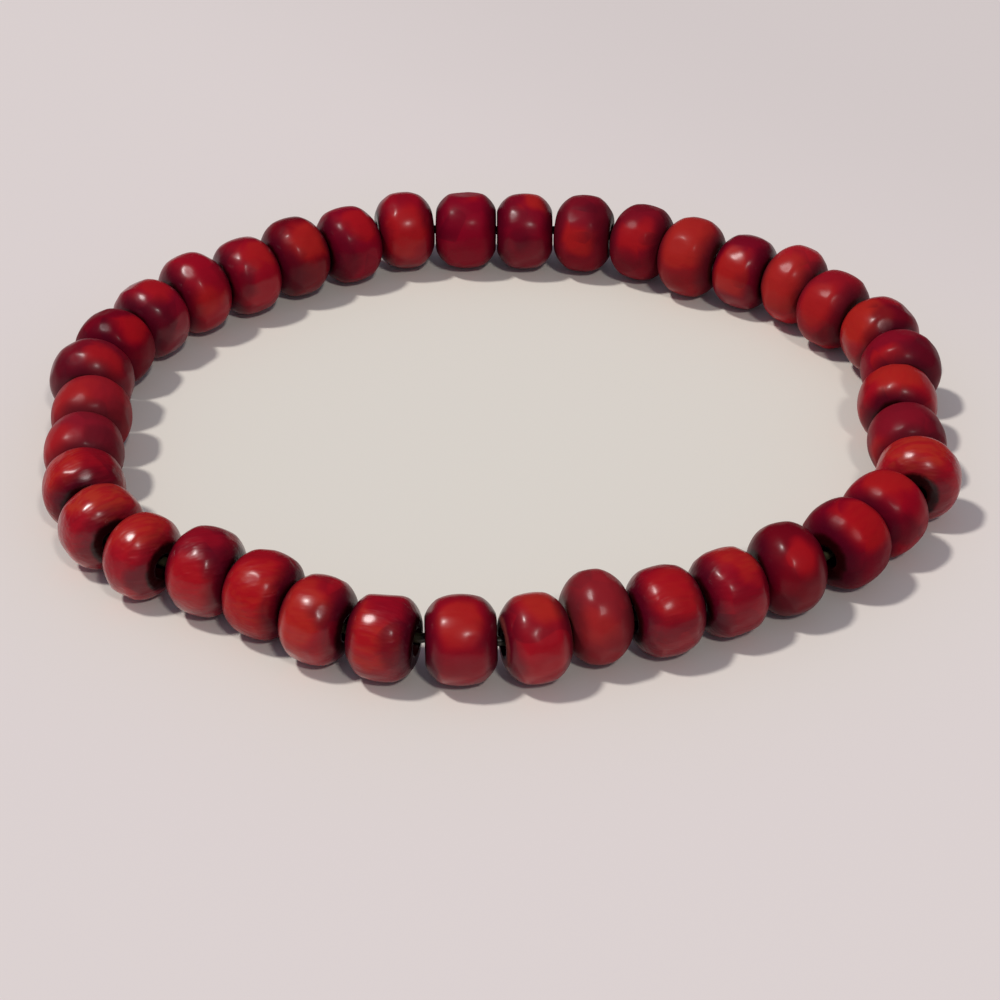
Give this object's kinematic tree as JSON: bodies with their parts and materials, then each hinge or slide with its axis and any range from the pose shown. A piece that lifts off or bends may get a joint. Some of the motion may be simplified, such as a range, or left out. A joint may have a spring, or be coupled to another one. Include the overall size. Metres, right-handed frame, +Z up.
{
  "type": "beaded stretch bracelet",
  "caption": "Stretch bracelet of red-stained wooden barrel beads on a clear elastic thread, lying flat as a loose, slightly uneven loop.",
  "frame": {"origin": "middle of the loop's footprint, on the surface that the bracelet lies on", "axes": "+Z up out of the surface and through the wrist opening, +X along the loop's longer way, the side seen nearest in the picture towards -Y"},
  "size_m": [0.07, 0.0632, 0.0068],
  "materials": {
    "wood_red": "red stain under semi-gloss varnish",
    "wood_crimson": "dark crimson stain under semi-gloss varnish",
    "wood_orange_red": "thin orange-red stain under semi-gloss varnish",
    "elastic_thread": "clear, slightly smoky elastic"
  },
  "bodies": {
    "root": {"bead_01": "wood_red", "bead_02": "wood_orange_red", "bead_03": "wood_red", "bead_04": "wood_red", "bead_05": "wood_red", "bead_06": "wood_red", "bead_07": "wood_crimson", "bead_08": "wood_red", "bead_09": "wood_orange_red", "bead_10": "wood_crimson", "bead_11": "wood_orange_red", "bead_12": "wood_crimson", "bead_13": "wood_orange_red", "bead_14": "wood_red", "bead_15": "wood_orange_red", "bead_16": "wood_crimson", "bead_17": "wood_orange_red", "bead_18": "wood_crimson", "bead_19": "wood_crimson", "bead_20": "wood_crimson", "bead_21": "wood_crimson", "bead_22": "wood_red", "bead_23": "wood_crimson", "bead_24": "wood_red", "bead_25": "wood_red", "bead_26": "wood_red", "bead_27": "wood_crimson", "bead_28": "wood_crimson", "bead_29": "wood_crimson", "bead_30": "wood_red", "bead_31": "wood_crimson", "bead_32": "wood_orange_red", "bead_33": "wood_orange_red", "bead_34": "wood_orange_red", "bead_35": "wood_red", "bead_36": "wood_orange_red", "bead_37": "wood_orange_red", "bead_38": "wood_red", "elastic_thread": "elastic_thread"}
  },
  "joints": []
}
